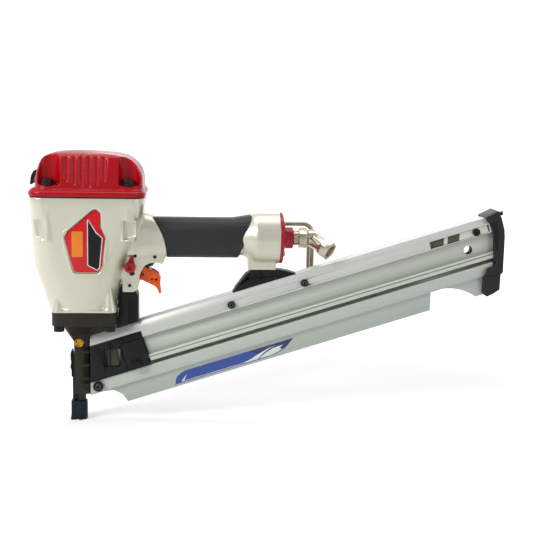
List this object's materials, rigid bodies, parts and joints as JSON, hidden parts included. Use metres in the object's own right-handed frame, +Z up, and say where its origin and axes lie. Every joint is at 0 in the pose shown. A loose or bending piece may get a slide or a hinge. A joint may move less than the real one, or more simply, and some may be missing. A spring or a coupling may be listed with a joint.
{
  "type": "pneumatic nail gun",
  "caption": "Hand-held pneumatic framing nailer with a slanted strip magazine, rubber grip, sprung trigger, contact foot, air swivel and rafter hook.",
  "frame": {"origin": "on the drive axis, at the mouth of the contact foot's nail bore", "axes": "+X rearwards along the handle, +Y to the tool's right side, away from the badge, +Z up along the drive axis towards the cap"},
  "size_m": [0.5481, 0.1168, 0.3155],
  "materials": {
    "main_housing": "metallic champagne-silver paint on cast alloy",
    "cap_gasket": "matt black",
    "top_cap": "glossy crimson paint on cast alloy",
    "cap_bolts": "black oxide",
    "exhaust_deflector": "satin black",
    "badge": "glossy red with a black panel",
    "cylinder_sleeve": "hard anodised",
    "sleeve_seal": "matt",
    "head_valve": "satin",
    "valve_return_spring": "bright",
    "piston_stop": "matt",
    "piston": "machined",
    "piston_ring": "satin",
    "driver_blade": "ground",
    "bumper": "matt",
    "nose_body": "dark olive black phosphated steel casting",
    "nose_bolts": "black oxide",
    "nose_pin": "golden, worn",
    "contact_foot": "dark blued",
    "contact_pad": "matt, ridged",
    "contact_arm": "dark plated sheet",
    "contact_spring": "bright",
    "depth_dial": "satin black",
    "arm_cover": "satin black",
    "trigger": "orange, semi-gloss",
    "contact_lever": "stamped",
    "lever_pin": "dark",
    "mode_selector": "glossy crimson",
    "guard_pins": "black",
    "trigger_valve": "machined",
    "valve_stem": "ground",
    "grip_sleeve": "charcoal, fine grain",
    "end_cap": "glossy crimson",
    "end_cap_screws": "zinc plated",
    "air_filter": "open foam",
    "swivel_base": "nickel plated",
    "swivel_elbow": "nickel plated",
    "hook_bracket": "satin",
    "rafter_hook": "nickel plated wire",
    "magazine_rail": "satin anodised extrusion with long brush lines",
    "magazine_near_wall": "satin anodised extrusion with long brush lines",
    "magazine_far_wall": "satin anodised extrusion with long brush lines",
    "magazine_bracket": "satin black",
    "bracket_bolts": "black oxide",
    "magazine_bolt": "black oxide",
    "front_guide": "satin black",
    "feed_pawl": "stamped",
    "pawl_pin": "dark",
    "pusher": "satin black",
    "pusher_blade": "stamped",
    "pusher_spring": "rolled band",
    "nail_stop_leaf": "spring steel",
    "nail_stop_tab": "spring steel",
    "nail_stop_screw": "black oxide",
    "magazine_label": "glossy blue film with plain stripes",
    "magazine_end_cap": "charcoal moulded plastic",
    "end_cap_foot": "charcoal moulded plastic"
  },
  "bodies": {
    "tool": {"main_housing": "main_housing", "cap_gasket": "cap_gasket", "top_cap": "top_cap", "cap_bolts": "cap_bolts", "exhaust_deflector": "exhaust_deflector", "badge": "badge", "cylinder_sleeve": "cylinder_sleeve", "sleeve_seal": "sleeve_seal", "valve_return_spring": "valve_return_spring", "piston_stop": "piston_stop", "bumper": "bumper", "nose_body": "nose_body", "nose_bolts": "nose_bolts", "nose_pin": "nose_pin", "contact_spring": "contact_spring", "arm_cover": "arm_cover", "guard_pins": "guard_pins", "trigger_valve": "trigger_valve", "grip_sleeve": "grip_sleeve", "end_cap": "end_cap", "end_cap_screws": "end_cap_screws", "air_filter": "air_filter", "swivel_base": "swivel_base", "hook_bracket": "hook_bracket", "magazine_rail": "magazine_rail", "magazine_near_wall": "magazine_near_wall", "magazine_far_wall": "magazine_far_wall", "magazine_bracket": "magazine_bracket", "bracket_bolts": "bracket_bolts", "magazine_bolt": "magazine_bolt", "front_guide": "front_guide", "pawl_pin": "pawl_pin", "nail_stop_tab": "nail_stop_tab", "nail_stop_screw": "nail_stop_screw", "magazine_label": "magazine_label", "magazine_end_cap": "magazine_end_cap", "end_cap_foot": "end_cap_foot"},
    "trigger": {"trigger": "trigger", "lever_pin": "lever_pin"},
    "lever": {"contact_lever": "contact_lever"},
    "selector": {"mode_selector": "mode_selector"},
    "foot": {"contact_foot": "contact_foot", "contact_pad": "contact_pad", "contact_arm": "contact_arm"},
    "dial": {"depth_dial": "depth_dial"},
    "stem": {"valve_stem": "valve_stem"},
    "piston": {"piston": "piston", "piston_ring": "piston_ring", "driver_blade": "driver_blade"},
    "head_valve": {"head_valve": "head_valve"},
    "pusher": {"pusher": "pusher", "pusher_blade": "pusher_blade", "pusher_spring": "pusher_spring"},
    "pawl": {"feed_pawl": "feed_pawl"},
    "stop_leaf": {"nail_stop_leaf": "nail_stop_leaf"},
    "elbow": {"swivel_elbow": "swivel_elbow"},
    "hook": {"rafter_hook": "rafter_hook"}
  },
  "joints": [
    {"name": "trigger_pull", "type": "hinge", "parent": "tool", "child": "trigger", "pos_m": [0.059, 0, 0.1847], "axis": [0, -1, 0], "range_deg": [0, 10], "stiffness_Nm_per_rad": 0.6, "springref_deg": -22.92},
    {"name": "lever_tilt", "type": "hinge", "parent": "trigger", "child": "lever", "pos_m": [0.0886, 0, 0.1689], "axis": [0, 1, 0], "range_deg": [0, 18]},
    {"name": "selector_turn", "type": "hinge", "parent": "tool", "child": "selector", "pos_m": [0.059, 0, 0.1847], "axis": [0, 1, 0], "range_deg": [0, 90]},
    {"name": "foot_slide", "type": "slide", "parent": "tool", "child": "foot", "axis": [0, 0, 1], "range_m": [0, 0.009], "stiffness_N_per_m": 700, "springref_m": -0.012, "deforming": ["contact_spring"]},
    {"name": "dial_turn", "type": "hinge", "parent": "foot", "child": "dial", "pos_m": [0.0575, 0, 0.128], "axis": [0, 0, 1], "continuous": true},
    {"name": "stem_push", "type": "slide", "parent": "tool", "child": "stem", "axis": [0, 0, 1], "range_m": [0, 0.0025], "stiffness_N_per_m": 800, "springref_m": -0.003},
    {"name": "piston_stroke", "type": "slide", "parent": "tool", "child": "piston", "axis": [0, 0, -1], "range_m": [0, 0.096]},
    {"name": "head_valve_lift", "type": "slide", "parent": "tool", "child": "head_valve", "axis": [0, 0, 1], "range_m": [0, 0.005], "stiffness_N_per_m": 1500, "springref_m": -0.006, "deforming": ["valve_return_spring"]},
    {"name": "pusher_slide", "type": "slide", "parent": "tool", "child": "pusher", "axis": [0.9553, 0, 0.2957], "range_m": [0, 0.3], "stiffness_N_per_m": 12, "springref_m": -0.5},
    {"name": "pawl_turn", "type": "hinge", "parent": "tool", "child": "pawl", "pos_m": [0.0344, -0.01, 0.075], "axis": [0, 0, -1], "range_deg": [0, 12], "stiffness_Nm_per_rad": 0.05, "springref_deg": -17.19},
    {"name": "stop_press", "type": "hinge", "parent": "tool", "child": "stop_leaf", "pos_m": [0.4548, -0.0113, 0.22576], "axis": [-0.2957, 0, 0.9553], "range_deg": [-3, 0], "stiffness_Nm_per_rad": 0.4, "springref_deg": 5.73},
    {"name": "swivel_turn", "type": "hinge", "parent": "tool", "child": "elbow", "pos_m": [0.267, 0, 0.2177], "axis": [1, 0, 0], "continuous": true},
    {"name": "hook_swing", "type": "hinge", "parent": "tool", "child": "hook", "pos_m": [0.22, 0.034, 0.2302], "axis": [1, 0, 0], "range_deg": [0, 90]}
  ],
  "couplings": [
    {"joint": "lever_tilt", "follows": "foot_slide", "rad_per_m": 33}
  ]
}
